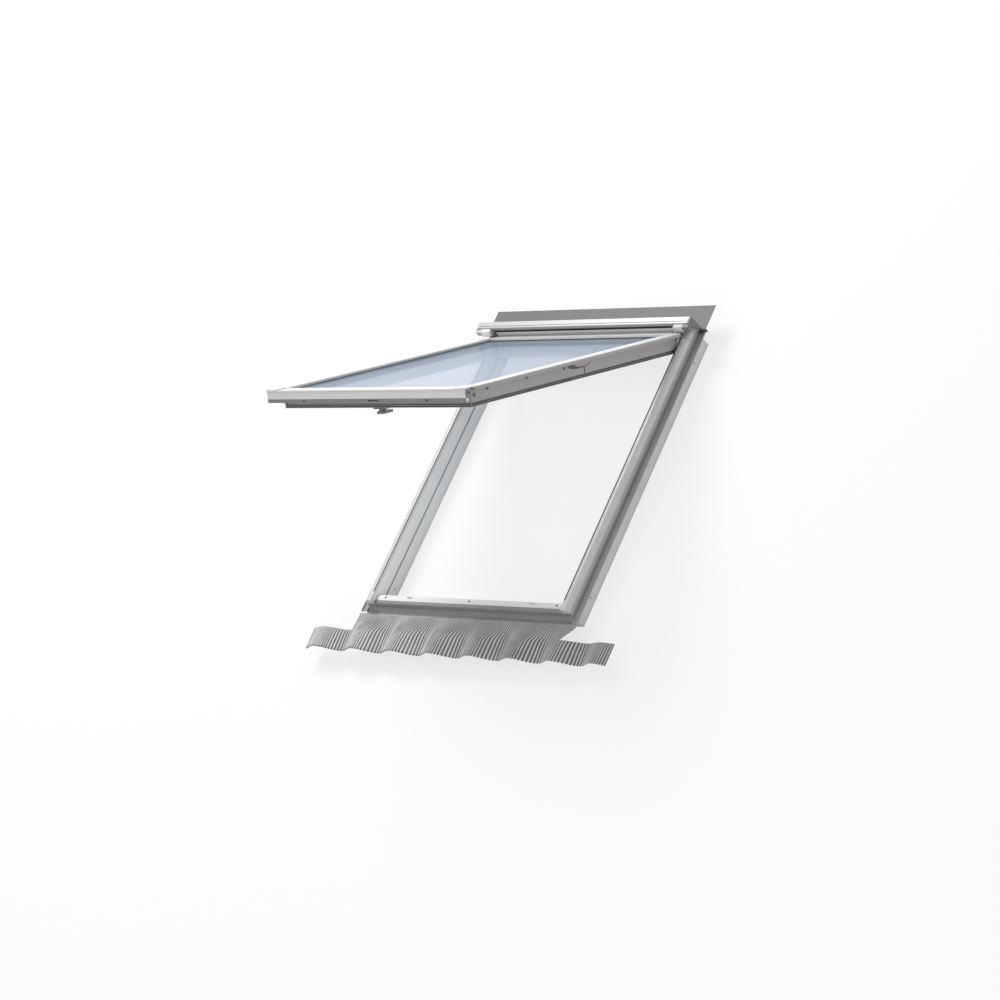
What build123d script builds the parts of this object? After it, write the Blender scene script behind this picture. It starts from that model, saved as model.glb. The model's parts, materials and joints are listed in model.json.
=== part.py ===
from build123d import *
import math
import os

# Top-hung roof window, sash swung open, without the roof around it.
# Origin: middle of the frame's underside. X runs along the eave, Y up the slope, Z out of the roof.
# The sash and its hinge arms are drawn shut and then turned out about the main hinge.

# Outer frame
FRAME_WIDTH = 1140.0
FRAME_HEIGHT = 1398.0
FRAME_DEPTH = 118.0
MEMBER_WIDTH = 36.0
SILL_WIDTH = 44.0
SILL_DROP = 15.0
EDGE_RADIUS = 3.0
SHOULDER_RADIUS = 16.0
SHEET = 2.0
FOLD_RADIUS = 4.0

# Seal let into the inner faces of the frame
SEAL_DROP = 58.0
SEAL_HEIGHT = 6.0
SEAL_SET_IN = 5.0
SEAL_STAND_OUT = 1.5

# Metal covers on the frame
COVER_RISE = 12.0
COVER_SKIRT = 66.0
COVER_ROUNDING = 24.0
COVER_JOINT_BACK = 54.0
COVER_JOINT_GAP = 1.0
NOSE_LAP = 16.0
NOSE_REACH = 29.0
NOSE_DROP = 25.0
NOSE_KNEE = (4.0, 9.0)
NOSE_ROUNDING = 7.0

# Flashing
APRON_WING = 278.0
APRON_THROAT = 45.0
APRON_LENGTH = 184.0
APRON_WING_LENGTH = 102.0
APRON_RAIL_WIDTH = 8.0
APRON_RAIL_HEIGHT = 7.0
APRON_SHEET = 1.2
APRON_ROWS = 4
WAVE_PITCH = 223.0
WAVE_RISE = 34.0
WAVE_START = 16.0
WAVE_LONG_SIDE = 0.7
PLEATS_PER_WAVE = 14
PLEAT_RISE = 7.0
PLEAT_START = 0.35
SWEEP_MEAN = 0.155
SWEEP_SWING = 0.125
SWEEP_PEAK = 0.33
CHANNEL_REACH = 33.0
CHANNEL_HEM = 6.0
TOP_FLASHING_REACH = 47.0
TOP_FLASHING_DROP = 18.0
TOP_FLASHING_LENGTH = 122.0

# Hood over the main hinge
HOOD_OVERHANG = 20.0
HOOD_BACK = 9.0
HOOD_DEPTH = 35.0
HOOD_RISE = 58.0
HOOD_LIP = 16.0
HOOD_CAP = 10.0
HOOD_CAP_BLOCK = (18.0, 24.0)
HOOD_CORNER_SET_IN = 22.0
HOOD_CORNER_WIDTH = 48.0
HOOD_CORNER_DEPTH = 23.0
HOOD_CORNER_HEIGHT = 26.0
HOOD_CORNER_BEVEL = 7.0

# Main hinge and centre pivot, in the shut position
HINGE_SET_BACK = 11.0
HINGE_RISE = 15.0
HINGE_PIN_RADIUS = 6.0
HINGE_BRACKET_RADIUS = 13.0
HINGE_BRACKET_THICKNESS = 5.0
HINGE_BRACKET_DROP = 45.0
PIVOT_Y = 11.0
PIVOT_BELOW_TOP = 5.0
PIVOT_PIN_RADIUS = 2.5
RUNNING_FIT = 0.05
OPEN_ANGLE = 45.0

# Hinge arms
ARM_PLAY = 8.0
ARM_THICKNESS = 12.0
ARM_HEIGHT = 36.0
ARM_STRIP = 2.0
ARM_EYE_RADIUS = 10.0
ARM_NECK_LENGTH = 34.0
ARM_NECK_HALF_HEIGHT = 9.0

# Sash members
SASH_PLAY = 2.0
STILE_WIDTH = 50.0
SASH_LIFT = 5.0
SASH_DEPTH = 47.0
TOP_PLAY = 8.0
BOTTOM_PLAY = 15.0
TOP_RAIL_WIDTH = 50.0
BOTTOM_RAIL_WIDTH = 60.0
LEDGE_REACH = 4.0
LEDGE_PLAY = 3.0
WALL = 7.0
WALL_PLAY = 0.5

# Glazing
PANE = 4.0
PANE_GAP = 16.0
PANE_EDGE_PLAY = 0.5
PANE_SET_BACK = 15.0
PANE_OVERHANG = 15.0
BED = 2.0
BED_WIDTH = 34.0
TOP_SEAL = 3.0
TOP_SEAL_WIDTH = 10.0
SPACER_INSET = 5.0
SPACER_WIDTH = 9.0

# Metal covers on the sash
FLANGE_RISE = 20.0
FLANGE_INSET = 12.0
FLANGE_LAP = 21.0
FLANGE_LIP = 15.0
FRONT_PLAY = 2.0
FRONT_DROP = 10.0
BOTTOM_FLANGE_REACH = 8.0
TOP_FLANGE_WIDTH = 53.0
TOP_FLANGE_REACH = 2.0
CASING_REACH = 5.0
CASING_LIFT = 19.0
CASING_SLIDE = 0.3
CASING_JOINT_ABOVE = 24.0
CASING_END_PLAY = 8.0
COVER_END_PLAY = 20.0
STRIP_END_PLAY = 6.0
PIVOT_NOTCH_BELOW = 29.5
PIVOT_NOTCH_ABOVE = 36.0
MOVING_GAP = 2.5
SLIDE_GAP = 0.5
CORNER_BLOCK = 12.0

# Lipped seal strip on the outer faces of the sash
STRIP_HEIGHT = 17.0
STRIP_CORE = 4.0
LIP_REACH = 8.0
LIP_HEIGHT = 3.0
LIPS = 3

# Bowed plates at the centre pivot
SHIELD_HALF_LENGTH = 72.0
SHIELD_DEPTH = 30.0
SHIELD_SHEET = 1.0
SHIELD_LAP = 6.0
PLATE_INSET = 8.0
PLATE_SHEET = 1.4

# Handle and small parts
HANDLE_BACK = 28.0
HANDLE_BASE = (72.0, 34.0, 8.0)
HANDLE_BASE_ROUNDING = 6.0
HANDLE_HUB_RADIUS = 13.0
HANDLE_HUB_HEIGHT = 10.0
HANDLE_GRIP = (42.0, 60.0, 10.0)
HANDLE_GRIP_BEHIND = 16.0
HANDLE_GRIP_ROUNDING = 8.0
HANDLE_GAP = 0.3
FRONT_SLOT_X = 50.0
FRONT_SLOT = (60.0, 5.0)
CATCH_X = 345.0
CATCH_SLOT = (16.0, 5.0)
SLOT_LIFT = 5.0
SILL_SCREW_SET_IN = 52.0
SILL_SCREW_BACK = 12.0
SCREW_RADIUS = 5.0
SCREW_HEAD = 2.0
STRIKER = (28.0, 6.0, 2.5)
STRIKER_BACK = 4.5
CASING_SCREWS = ((16.0, 28.0), (95.0, 42.0), (330.0, 44.0))
PIVOT_SCREW = (98.0, 42.0)
CASING_SCREW_RADIUS = 4.0
CASING_SCREW_HEAD = 1.0
JAMB_BORE_RADIUS = 4.0
JAMB_BORE_BACK = 118.0
JAMB_BORE_Z = 31.0

HALF_WIDTH = FRAME_WIDTH / 2
HALF_HEIGHT = FRAME_HEIGHT / 2
JAMB_FACE = HALF_WIDTH - MEMBER_WIDTH
HEAD_FACE = HALF_HEIGHT - MEMBER_WIDTH
SILL_FACE = SILL_WIDTH - HALF_HEIGHT
SILL_DEPTH = FRAME_DEPTH - SILL_DROP
SEAL_LEVEL = FRAME_DEPTH - SEAL_DROP
COVER_TOP = FRAME_DEPTH + COVER_RISE
COVER_OUTER = HALF_WIDTH + SHEET
SKIRT_LOW = COVER_TOP - COVER_SKIRT
COVER_JOINT_Y = HALF_HEIGHT - COVER_JOINT_BACK
NOSE_TOP = SILL_DEPTH + SHEET
NOSE_FRONT = -HALF_HEIGHT - SHEET
NOSE_FOOT_Y = -HALF_HEIGHT - NOSE_REACH
NOSE_FOOT_Z = NOSE_TOP - NOSE_DROP
APRON_TOP_Y = NOSE_FOOT_Y - APRON_RAIL_WIDTH
APRON_LOW_Y = APRON_TOP_Y - APRON_LENGTH
APRON_HALF_WIDTH = HALF_WIDTH + APRON_WING
CHANNEL_OUTER = COVER_OUTER + CHANNEL_REACH
HOOD_BACK_Y = HALF_HEIGHT + HOOD_BACK
HOOD_FRONT_Y = HOOD_BACK_Y - HOOD_DEPTH
HOOD_TOP = COVER_TOP + HOOD_RISE
HOOD_HALF_WIDTH = HALF_WIDTH + HOOD_OVERHANG
HOOD_CORNER_OUTER = HOOD_HALF_WIDTH - HOOD_CORNER_SET_IN
TOP_FLASHING_Z = FRAME_DEPTH - TOP_FLASHING_DROP
TOP_FLASHING_HALF_WIDTH = HALF_WIDTH + TOP_FLASHING_REACH
FLANGE_TOP = COVER_TOP + FLANGE_RISE
FLANGE_UNDER = FLANGE_TOP - SHEET
HINGE_Y = HEAD_FACE - HINGE_SET_BACK
HINGE_Z = COVER_TOP + HINGE_RISE
PIVOT_Z = FLANGE_TOP - PIVOT_BELOW_TOP
ARM_OUTER = JAMB_FACE - ARM_PLAY
ARM_INNER = ARM_OUTER - ARM_THICKNESS
ARM_TOP = FLANGE_UNDER - ARM_STRIP
ARM_LOW = ARM_TOP - ARM_HEIGHT
SASH_HALF_WIDTH = ARM_INNER - SASH_PLAY
SASH_TOP_EDGE = HEAD_FACE - TOP_PLAY
SASH_BOTTOM_EDGE = SILL_FACE + BOTTOM_PLAY
SASH_LOW = SEAL_LEVEL + SASH_LIFT
REBATE = SASH_LOW + SASH_DEPTH
LEDGE_FRONT = -HALF_HEIGHT - LEDGE_REACH
LEDGE_LOW = NOSE_TOP + LEDGE_PLAY
WALL_TOP = FLANGE_UNDER - WALL_PLAY
STILE_INNER = SASH_HALF_WIDTH - STILE_WIDTH
PANE_HALF_WIDTH = SASH_HALF_WIDTH - WALL - PANE_EDGE_PLAY
PANE_TOP = SASH_TOP_EDGE - PANE_SET_BACK
PANE_BOTTOM = SASH_BOTTOM_EDGE - PANE_OVERHANG
INNER_PANE_LOW = REBATE + BED
SPACER_LOW = INNER_PANE_LOW + PANE
OUTER_PANE_LOW = SPACER_LOW + PANE_GAP
SEAL_BED = OUTER_PANE_LOW + PANE
LIP_LOW = SEAL_BED + TOP_SEAL
FLANGE_INNER = SASH_HALF_WIDTH - FLANGE_INSET
FLANGE_OUTER = JAMB_FACE + FLANGE_LAP
SASH_FRONT_Y = LEDGE_FRONT - FRONT_PLAY - SHEET
SASH_FRONT_LOW = LEDGE_LOW - FRONT_DROP
BOTTOM_FLANGE_END = SASH_BOTTOM_EDGE - BOTTOM_FLANGE_REACH
TOP_FLANGE_END = SASH_TOP_EDGE + TOP_FLANGE_REACH
UPPER_COVER_TOP = HINGE_Y - COVER_END_PLAY
CASING_START = SASH_BOTTOM_EDGE - CASING_REACH
CASING_LOW = SASH_LOW + CASING_LIFT
CASING_OUTER = ARM_OUTER + SHEET
CASING_JOINT_Y = PIVOT_Y + CASING_JOINT_ABOVE
LOWER_CASING_INNER = ARM_OUTER + CASING_SLIDE
LOWER_CASING_OUTER = LOWER_CASING_INNER + SHEET
SHIELD_INNER = LOWER_CASING_OUTER + CASING_SLIDE
SHIELD_TOP = FLANGE_TOP - FLANGE_LIP + SHIELD_LAP
HANDLE_Y = SASH_BOTTOM_EDGE + HANDLE_BACK
HANDLE_LOW = SASH_LOW - HANDLE_BASE[2]


def bar(x, y, z):
    """Block between a low and a high value on each axis."""
    spans = (x, y, z)
    sizes = [high - low for low, high in spans]
    middle = [(low + high) / 2 for low, high in spans]
    return Pos(*middle) * Box(*sizes)


def ring(half_width, low_y, high_y, inset, z):
    """Rectangular ring, symmetrical in X, with its inner edge set in by one width all round."""
    outer = bar((-half_width, half_width), (low_y, high_y), z)
    inner_x = (inset - half_width, half_width - inset)
    return outer - bar(inner_x, (low_y + inset, high_y - inset), z)


def pin(radius, x, y, z):
    """Round bar along X between two X values."""
    low, high = x
    return Pos((low + high) / 2, y, z) * Rot(0, 90, 0) * Cylinder(radius, high - low)


def stud(radius, x, y, z):
    """Round bar along Z between two Z values."""
    low, high = z
    return Pos(x, y, (low + high) / 2) * Cylinder(radius, high - low)


def outline(points):
    """Flat face inside a closed run of straight lines."""
    return make_face(Polyline(*points, close=True))


def folded(points, thickness, rounding=None):
    """Section of a folded sheet: the points give its outer side, the metal lies to their right.

    The rounding names the index of one bend and its outer radius.
    """
    steps = [Vector(b[0] - a[0], b[1] - a[1]).normalized() for a, b in zip(points, points[1:])]
    sides = [Vector(step.Y, -step.X) for step in steps]
    pairs = zip(sides[:1] + sides, sides + sides[-1:])
    shifts = [(one + two) * (thickness / (1 + one.dot(two))) for one, two in pairs]
    inner = [(p[0] + s.X, p[1] + s.Y) for p, s in zip(points, shifts)]
    face = outline(list(points) + inner[::-1])
    if rounding:
        index, radius = rounding
        face = rounded_at(face, points[index], radius)
        face = rounded_at(face, inner[index], radius - thickness)
    return face


def rounded_at(face, spot, radius):
    """The face with the corner nearest to the spot rounded."""
    corner = min(face.vertices(), key=lambda v: (Vector(*v) - Vector(*spot)).length)
    return fillet(corner, radius)


def along_x(face, low, high):
    """Section drawn in Y and Z, drawn out between two X values."""
    return Pos(low, 0, 0) * extrude(Plane.YZ * face, high - low)


def along_y(face, low, high):
    """Section drawn in X and Z, drawn out between two Y values."""
    return Pos(0, high, 0) * extrude(Plane.XZ * face, high - low)


def left_of(part):
    """The same part for the left side."""
    return mirror(part, Plane.YZ)


def seal_ring():
    """Thin seal that runs round the inside of the frame."""
    half = SEAL_HEIGHT / 2
    low_y = SILL_FACE - SEAL_SET_IN
    high_y = HEAD_FACE + SEAL_SET_IN
    z = (SEAL_LEVEL - half, SEAL_LEVEL + half)
    return ring(JAMB_FACE + SEAL_SET_IN, low_y, high_y, SEAL_SET_IN + SEAL_STAND_OUT, z)


def frame_jamb():
    """Right jamb, full height, with a rounded lower inner edge and two fixing bores."""
    section = outline([(JAMB_FACE, 0), (HALF_WIDTH, 0), (HALF_WIDTH, FRAME_DEPTH), (JAMB_FACE, FRAME_DEPTH)])
    section = rounded_at(section, (JAMB_FACE, 0), EDGE_RADIUS)
    section = rounded_at(section, (HALF_WIDTH, FRAME_DEPTH), SHOULDER_RADIUS)
    jamb = along_y(section, -HALF_HEIGHT, HALF_HEIGHT)
    bore_y = HALF_HEIGHT - JAMB_BORE_BACK
    for y in (-bore_y, bore_y):
        jamb -= pin(JAMB_BORE_RADIUS, (JAMB_FACE - 1, HALF_WIDTH + 1), y, JAMB_BORE_Z)
    return jamb - seal_ring()


def frame_head():
    """Top member between the jambs."""
    section = outline([(HEAD_FACE, 0), (HALF_HEIGHT, 0), (HALF_HEIGHT, FRAME_DEPTH), (HEAD_FACE, FRAME_DEPTH)])
    section = rounded_at(section, (HEAD_FACE, 0), EDGE_RADIUS)
    return along_x(section, -JAMB_FACE, JAMB_FACE) - seal_ring()


def frame_sill():
    """Bottom member between the jambs, lower than they are so that water runs off."""
    section = outline([(SILL_FACE, 0), (-HALF_HEIGHT, 0), (-HALF_HEIGHT, SILL_DEPTH), (SILL_FACE, SILL_DEPTH)])
    section = rounded_at(section, (SILL_FACE, 0), EDGE_RADIUS)
    section = rounded_at(section, (SILL_FACE, SILL_DEPTH), EDGE_RADIUS)
    section = rounded_at(section, (-HALF_HEIGHT, SILL_DEPTH), NOSE_ROUNDING)
    return along_x(section, -JAMB_FACE, JAMB_FACE) - seal_ring()


def side_cover_section():
    """Right cover sheet: inner lip on the jamb, flat top, large rounding and outer skirt."""
    points = [(JAMB_FACE, FRAME_DEPTH), (JAMB_FACE, COVER_TOP), (COVER_OUTER, COVER_TOP)]
    points.append((COVER_OUTER, SKIRT_LOW))
    return folded(points, SHEET, (2, COVER_ROUNDING))


def side_cover():
    """Right cover with its lower end closed."""
    cover = along_y(side_cover_section(), NOSE_FRONT, COVER_JOINT_Y - COVER_JOINT_GAP)
    corners = [(JAMB_FACE, SKIRT_LOW), (JAMB_FACE, COVER_TOP), (COVER_OUTER, COVER_TOP)]
    corners.append((COVER_OUTER, SKIRT_LOW))
    end = rounded_at(outline(corners), (COVER_OUTER, COVER_TOP), COVER_ROUNDING)
    return cover + along_y(end, NOSE_FRONT, -HALF_HEIGHT)


def upper_side_cover():
    """Short right cover at the main hinge, up to the back of the hood."""
    return along_y(side_cover_section(), COVER_JOINT_Y, HOOD_BACK_Y - SHEET)


def bottom_frame_cover():
    """Sheet on the front of the sill that runs down to the apron."""
    knee_y, knee_z = NOSE_KNEE
    points = [(NOSE_FOOT_Y, NOSE_FOOT_Z), (NOSE_FRONT - knee_y, NOSE_FOOT_Z + knee_z), (NOSE_FRONT, NOSE_TOP)]
    points.append((NOSE_LAP - HALF_HEIGHT, NOSE_TOP))
    cover = along_x(folded(points, SHEET, (2, NOSE_ROUNDING)), -COVER_OUTER, COVER_OUTER)
    for side in ((-COVER_OUTER, -JAMB_FACE), (JAMB_FACE, COVER_OUTER)):
        cover -= bar(side, (NOSE_FRONT, 0), (0, COVER_TOP))
    return cover


def apron_rail():
    """Folded seam where the bottom cover and the apron meet."""
    top = NOSE_FOOT_Z + SHEET
    return bar((-COVER_OUTER, COVER_OUTER), (APRON_TOP_Y, NOSE_FOOT_Y), (top - APRON_RAIL_HEIGHT, top))


def wave_phase(x):
    """Share of a wave that lies between the last crest and this X."""
    return (x / WAVE_PITCH + 0.5) % 1.0


def apron_height(x, share):
    """Height of the sheet at one X and one share of its length. The waves grow down the slope."""
    phase = wave_phase(x)
    short_side = 1.0 - WAVE_LONG_SIDE
    fall = min(phase / WAVE_LONG_SIDE, (1.0 - phase) / short_side)
    crest = (1.0 + math.cos(math.pi * fall)) / 2
    return NOSE_FOOT_Z + math.sqrt(share) * (WAVE_RISE * crest - WAVE_START)


def pleat_sweep(x, share):
    """Sideways run of a pleat: pleats gather on the short side of a wave and spread on the long one."""
    turn = 2 * math.pi * (wave_phase(x) - SWEEP_PEAK)
    calm = min(1.0, (APRON_HALF_WIDTH - abs(x)) / WAVE_PITCH)
    return -WAVE_PITCH * calm * math.sqrt(share) * (SWEEP_MEAN + SWEEP_SWING * math.cos(turn))


def apron_column(x, fold):
    """Points down one pleat edge. Out at the wings the sheet starts lower."""
    in_throat = abs(x) <= HALF_WIDTH + APRON_THROAT
    start = APRON_TOP_Y if in_throat else APRON_LOW_Y + APRON_WING_LENGTH
    points = []
    for row in range(APRON_ROWS + 1):
        y = start + (APRON_LOW_Y - start) * row / APRON_ROWS
        share = (APRON_TOP_Y - y) / APRON_LENGTH
        swept = x + pleat_sweep(x, share)
        rise = fold * min(1.0, PLEAT_START + share)
        points.append((swept, y, apron_height(swept, share) + rise))
    return points


def apron_flashing():
    """Pleated apron: sharp pleats that sweep down the slope over waves that match the roofing."""
    columns = 2 * round(2 * APRON_HALF_WIDTH / WAVE_PITCH * PLEATS_PER_WAVE)
    above = []
    for column in range(columns + 1):
        x = APRON_HALF_WIDTH * (2 * column / columns - 1)
        above.append(apron_column(x, PLEAT_RISE * (column % 2)))
    below = [[(x, y, z - APRON_SHEET) for x, y, z in line] for line in above]
    return knit(above, below)


def knit(above, below):
    """Solid between two grids of points, closed round its rim."""
    faces = []
    for grid in (above, below):
        for row in range(len(grid) - 1):
            for column in range(len(grid[0]) - 1):
                a = grid[row][column]
                b = grid[row][column + 1]
                c = grid[row + 1][column + 1]
                d = grid[row + 1][column]
                faces += [outline_3d(a, b, c), outline_3d(a, c, d)]
    rims = [(above[0], below[0]), (above[-1], below[-1])]
    rims.append(([line[0] for line in above], [line[0] for line in below]))
    rims.append(([line[-1] for line in above], [line[-1] for line in below]))
    for top, bottom in rims:
        for index in range(len(top) - 1):
            faces.append(outline_3d(top[index], top[index + 1], bottom[index + 1], bottom[index]))
    return Solid(Shell(faces))


def outline_3d(*corners):
    """Flat face between points in space."""
    return Face(Wire.make_polygon([Vector(*corner) for corner in corners], close=True))


def side_channel():
    """Right gutter beside the frame, with an upturned hem."""
    surface = NOSE_FOOT_Z
    points = [(COVER_OUTER, surface + 2 * FOLD_RADIUS), (COVER_OUTER + FOLD_RADIUS, surface)]
    points += [(CHANNEL_OUTER, surface), (CHANNEL_OUTER + SHEET, surface + CHANNEL_HEM)]
    channel = along_y(folded(points, SHEET), NOSE_FOOT_Y, HOOD_BACK_Y)
    return channel - bar((0, COVER_OUTER), (NOSE_FOOT_Y, HOOD_BACK_Y), (0, COVER_TOP))


def top_flashing():
    """Sheet behind the hood, with a skirt at each side down to the gutter."""
    z = (TOP_FLASHING_Z - SHEET, TOP_FLASHING_Z)
    half = TOP_FLASHING_HALF_WIDTH
    sheet = bar((-HALF_WIDTH, HALF_WIDTH), (HALF_HEIGHT, HOOD_BACK_Y), z)
    sheet += bar((-half, half), (HOOD_BACK_Y, HOOD_BACK_Y + TOP_FLASHING_LENGTH), z)
    for x in ((-half, -COVER_OUTER), (COVER_OUTER, half)):
        sheet += bar(x, (HOOD_BACK_Y, HOOD_BACK_Y + SHEET), (NOSE_FOOT_Z - SHEET, TOP_FLASHING_Z))
    return sheet


def hood():
    """Folded hood that shelters the main hinge."""
    points = [(HOOD_FRONT_Y, HOOD_TOP - HOOD_LIP), (HOOD_FRONT_Y, HOOD_TOP), (HOOD_BACK_Y, HOOD_TOP)]
    points.append((HOOD_BACK_Y, TOP_FLASHING_Z))
    return along_x(folded(points, SHEET, (1, FOLD_RADIUS)), -HOOD_HALF_WIDTH, HOOD_HALF_WIDTH)


def hood_end_cap():
    """Right end of the hood, with a block in front of its lip."""
    depth, height = HOOD_CAP_BLOCK
    outer = HOOD_HALF_WIDTH + HOOD_CAP
    lip_low = HOOD_TOP - HOOD_LIP
    points = [(HOOD_FRONT_Y, HOOD_TOP), (HOOD_BACK_Y, HOOD_TOP), (HOOD_BACK_Y, TOP_FLASHING_Z)]
    points += [(HOOD_BACK_Y - SHEET, TOP_FLASHING_Z), (HOOD_FRONT_Y, lip_low)]
    cap = along_x(outline(points), HOOD_HALF_WIDTH, outer)
    top = HOOD_TOP - FOLD_RADIUS
    return cap + bar((HOOD_CORNER_OUTER, outer), (HOOD_FRONT_Y - depth, HOOD_FRONT_Y), (top - height, top))


def hood_corner():
    """Light block at the right end of the hood's front edge."""
    front = HOOD_FRONT_Y - HOOD_CORNER_DEPTH
    top = HOOD_TOP - FOLD_RADIUS
    low = top - HOOD_CORNER_HEIGHT
    points = [(front, low), (front, top - HOOD_CORNER_BEVEL), (front + HOOD_CORNER_BEVEL, top)]
    points += [(HOOD_FRONT_Y, top), (HOOD_FRONT_Y, low)]
    return along_x(outline(points), HOOD_CORNER_OUTER - HOOD_CORNER_WIDTH, HOOD_CORNER_OUTER)


def hinge_bracket():
    """Right hinge plate on the jamb, with the pin that carries the arm."""
    plate_x = (JAMB_FACE - HINGE_BRACKET_THICKNESS, JAMB_FACE)
    plate = pin(HINGE_BRACKET_RADIUS, plate_x, HINGE_Y, HINGE_Z)
    plate += bar(plate_x, (HINGE_Y - HINGE_BRACKET_RADIUS, HEAD_FACE), (HINGE_Z - HINGE_BRACKET_DROP, HINGE_Z))
    return plate + pin(HINGE_PIN_RADIUS, (ARM_INNER, JAMB_FACE), HINGE_Y, HINGE_Z)


def sill_screws():
    """Three screw heads on the sill."""
    place = JAMB_FACE - SILL_SCREW_SET_IN
    z = (SILL_DEPTH, SILL_DEPTH + SCREW_HEAD)
    return [stud(SCREW_RADIUS, x, SILL_FACE - SILL_SCREW_BACK, z) for x in (-place, 0, place)]


def sill_strikers():
    """Two keeper plates on the sill for the sash lock."""
    length, width, height = STRIKER
    high_y = SILL_FACE - STRIKER_BACK
    z = (SILL_DEPTH, SILL_DEPTH + height)
    return [bar((x - length / 2, x + length / 2), (high_y - width, high_y), z) for x in (-CATCH_X, CATCH_X)]


def hinge_arm():
    """Right steel arm from the main hinge to the centre pivot, with the strip that carries its cover."""
    x = (ARM_INNER, ARM_OUTER)
    neck_y = HINGE_Y - ARM_NECK_LENGTH
    arm = pin(ARM_HEIGHT, x, PIVOT_Y, ARM_TOP) + bar(x, (PIVOT_Y, neck_y), (ARM_LOW, ARM_TOP))
    neck = [(neck_y, ARM_LOW), (HINGE_Y, HINGE_Z - ARM_NECK_HALF_HEIGHT)]
    neck += [(HINGE_Y, HINGE_Z + ARM_NECK_HALF_HEIGHT), (UPPER_COVER_TOP, ARM_TOP), (neck_y, ARM_TOP)]
    arm += along_x(outline(neck), *x) + pin(ARM_EYE_RADIUS, x, HINGE_Y, HINGE_Z)
    arm -= bar(x, (PIVOT_Y - ARM_HEIGHT, PIVOT_Y + ARM_HEIGHT), (ARM_TOP, ARM_TOP + ARM_HEIGHT))
    arm += bar(x, (PIVOT_Y - PIVOT_NOTCH_BELOW, UPPER_COVER_TOP - STRIP_END_PLAY), (ARM_TOP, FLANGE_UNDER))
    arm -= pin(HINGE_PIN_RADIUS + RUNNING_FIT, x, HINGE_Y, HINGE_Z)
    return arm - pin(PIVOT_PIN_RADIUS + RUNNING_FIT, x, PIVOT_Y, PIVOT_Z)


def flange_section(inner, lip_low):
    """Right sash cover: lip on the glass, flat flange and outer lip."""
    points = [(inner, lip_low), (inner, FLANGE_TOP), (FLANGE_OUTER, FLANGE_TOP)]
    points.append((FLANGE_OUTER, FLANGE_TOP - FLANGE_LIP))
    return folded(points, SHEET)


def upper_sash_cover():
    """Right cover above the centre pivot. It stays on the arm when the sash is turned over."""
    start = PIVOT_Y + PIVOT_NOTCH_ABOVE
    cover = along_y(flange_section(FLANGE_INNER, LIP_LOW + SLIDE_GAP), start, UPPER_COVER_TOP)
    narrow = [(SASH_HALF_WIDTH + SASH_PLAY / 2, FLANGE_TOP), (FLANGE_OUTER, FLANGE_TOP)]
    narrow.append((FLANGE_OUTER, FLANGE_TOP - FLANGE_LIP))
    return cover + along_y(folded(narrow, SHEET), PIVOT_Y - PIVOT_NOTCH_BELOW, start)


def upper_casing():
    """Right side sheet over the arm, above the centre pivot, with a foot turned in below the arm."""
    y = (CASING_JOINT_Y, UPPER_COVER_TOP - CASING_END_PLAY)
    casing = bar((ARM_OUTER, CASING_OUTER), y, (CASING_LOW, FLANGE_UNDER))
    return casing + bar((SASH_HALF_WIDTH + SLIDE_GAP, CASING_OUTER), y, (CASING_LOW, CASING_LOW + SHEET))


def segment(half_length, depth, x):
    """Plate with a straight upper edge and a bowed lower edge, at the centre pivot."""
    left = (PIVOT_Y - half_length, SHIELD_TOP)
    right = (PIVOT_Y + half_length, SHIELD_TOP)
    arc = ThreePointArc(left, (PIVOT_Y, SHIELD_TOP - depth), right)
    return along_x(make_face([arc, Line(right, left)]), *x)


def pivot_shield():
    """Dark bowed plate at the right centre pivot, seated on the upper casing."""
    shield = segment(SHIELD_HALF_LENGTH, SHIELD_DEPTH, (SHIELD_INNER, SHIELD_INNER + SHIELD_SHEET))
    seat_x = (CASING_OUTER, SHIELD_INNER)
    seat = segment(SHIELD_HALF_LENGTH, SHIELD_DEPTH, seat_x)
    return shield + (seat - bar(seat_x, (PIVOT_Y - SHIELD_HALF_LENGTH, CASING_JOINT_Y), (0, FLANGE_TOP)))


def pivot_plate():
    """Lighter plate on the shield."""
    low = SHIELD_INNER + SHIELD_SHEET
    return segment(SHIELD_HALF_LENGTH - PLATE_INSET, SHIELD_DEPTH - PLATE_INSET, (low, low + PLATE_SHEET))


def sash_stile():
    """Right sash member with the rebate for the glazing."""
    wall_inner = SASH_HALF_WIDTH - WALL
    points = [(STILE_INNER, SASH_LOW), (SASH_HALF_WIDTH, SASH_LOW), (SASH_HALF_WIDTH, WALL_TOP)]
    points += [(wall_inner, WALL_TOP), (wall_inner, REBATE), (STILE_INNER, REBATE)]
    section = rounded_at(outline(points), (STILE_INNER, SASH_LOW), EDGE_RADIUS)
    stile = along_y(section, SASH_BOTTOM_EDGE, SASH_TOP_EDGE)
    top_wall = (PANE_TOP + PANE_EDGE_PLAY, SASH_TOP_EDGE)
    return stile + bar((STILE_INNER, SASH_HALF_WIDTH), top_wall, (REBATE, WALL_TOP))


def sash_top_rail():
    """Top sash member between the stiles."""
    inner = SASH_TOP_EDGE - TOP_RAIL_WIDTH
    wall = PANE_TOP + PANE_EDGE_PLAY
    points = [(inner, SASH_LOW), (SASH_TOP_EDGE, SASH_LOW), (SASH_TOP_EDGE, WALL_TOP), (wall, WALL_TOP)]
    points += [(wall, REBATE), (inner, REBATE)]
    section = rounded_at(outline(points), (inner, SASH_LOW), EDGE_RADIUS)
    return along_x(section, -STILE_INNER, STILE_INNER)


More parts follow.
